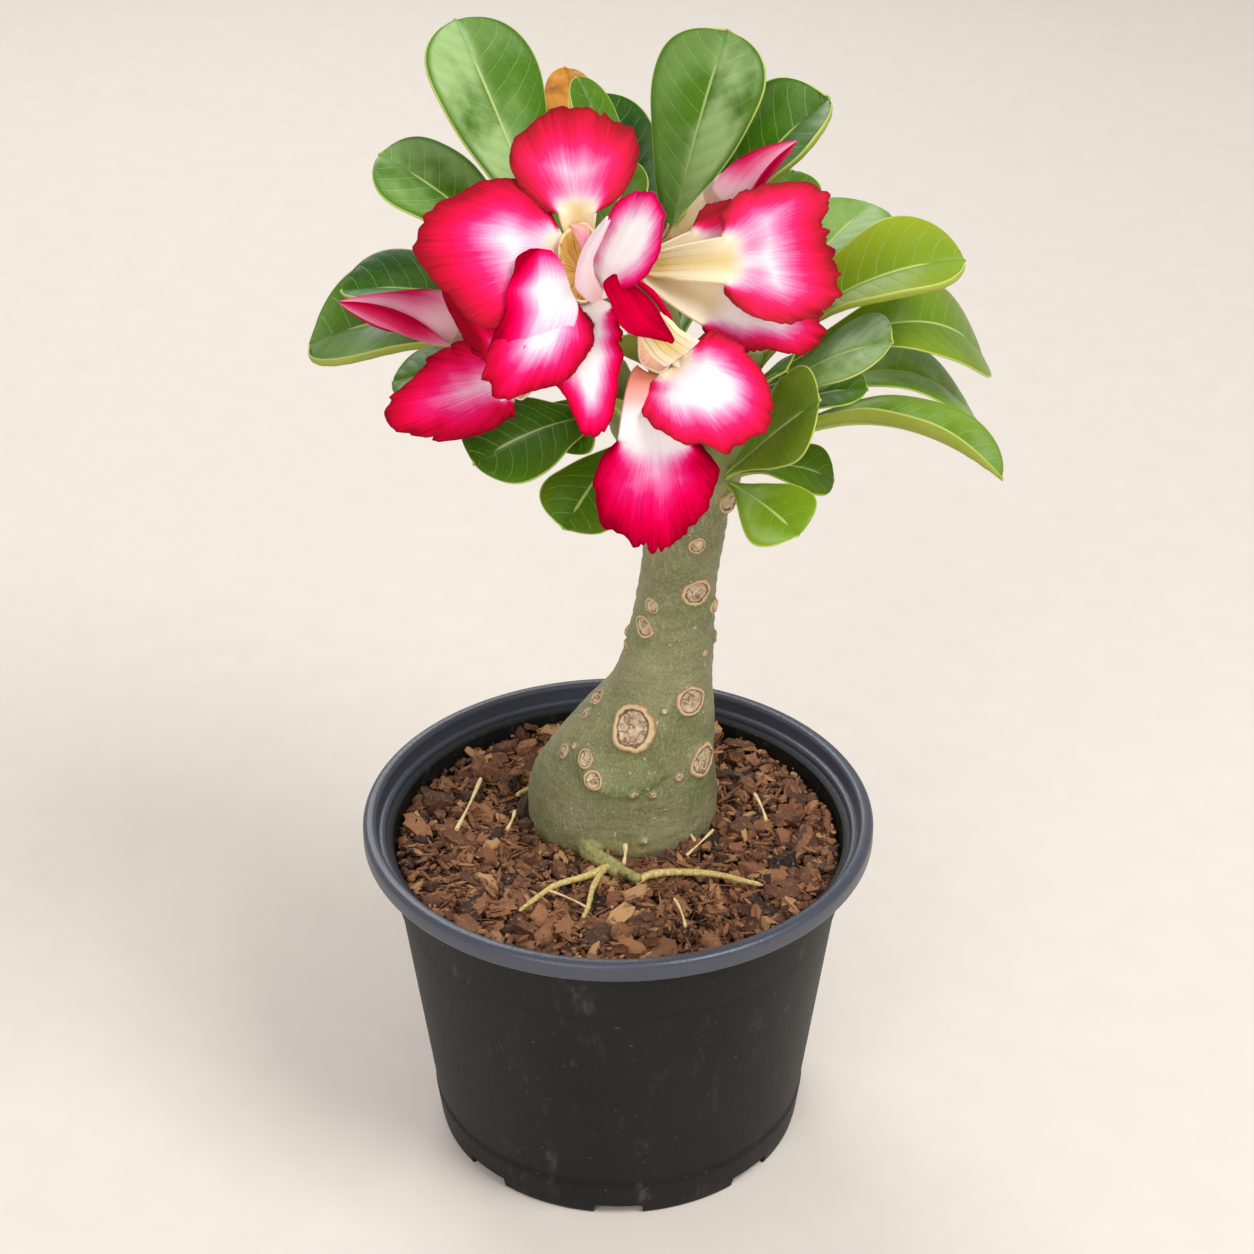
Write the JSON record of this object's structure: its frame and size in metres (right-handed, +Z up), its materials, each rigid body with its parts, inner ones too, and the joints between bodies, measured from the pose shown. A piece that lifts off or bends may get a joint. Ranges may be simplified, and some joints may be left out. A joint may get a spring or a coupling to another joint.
{
  "type": "potted desert rose",
  "caption": "Flowering desert rose plant with a swollen trunk, glossy leaves and pink blooms, growing in a round black nursery pot.",
  "frame": {"origin": "centre of the pot's underside, on the surface that it stands on", "axes": "+Z up along the pot's axis, -Y towards the front of the plant, +X to its right"},
  "size_m": [0.1859, 0.1593, 0.3343],
  "materials": {
    "pot": "satin moulded plastic, lightly scuffed",
    "soil": "loose chopped bark and coir",
    "trunk": "smooth grey-green bark with pale scars",
    "leaf": "glossy, with a pale midrib and margin",
    "dried_leaf": "dry and matte",
    "petal": "soft, white at the throat and crimson at the edge",
    "bud": "soft, cream tube with a pink furled tip"
  },
  "bodies": {
    "root": {"pot": "pot", "soil": "soil", "trunk": "trunk", "leaf_left_1": "leaf", "leaf_left_2": "leaf", "leaf_left_3": "leaf", "leaf_left_4": "leaf", "leaf_left_5": "leaf", "leaf_left_6": "leaf", "leaf_left_7": "leaf", "leaf_centre_1": "leaf", "leaf_centre_2": "leaf", "leaf_centre_3": "leaf", "leaf_centre_4": "leaf", "leaf_right_1": "leaf", "leaf_right_2": "leaf", "leaf_right_3": "leaf", "leaf_right_4": "leaf", "leaf_right_5": "leaf", "leaf_right_6": "leaf", "leaf_right_7": "leaf", "leaf_right_8": "leaf", "leaf_right_9": "leaf", "leaf_right_10": "leaf", "leaf_right_11": "leaf", "leaf_right_12": "leaf", "leaf_back_1": "leaf", "leaf_back_2": "leaf", "leaf_back_3": "leaf", "leaf_back_4": "leaf", "leaf_back_5": "leaf", "leaf_back_6": "leaf", "leaf_dried": "dried_leaf", "bloom_1": "petal", "bloom_2": "petal", "bloom_3": "petal", "bloom_4": "petal", "bud_1": "bud", "bud_2": "bud"}
  },
  "joints": []
}
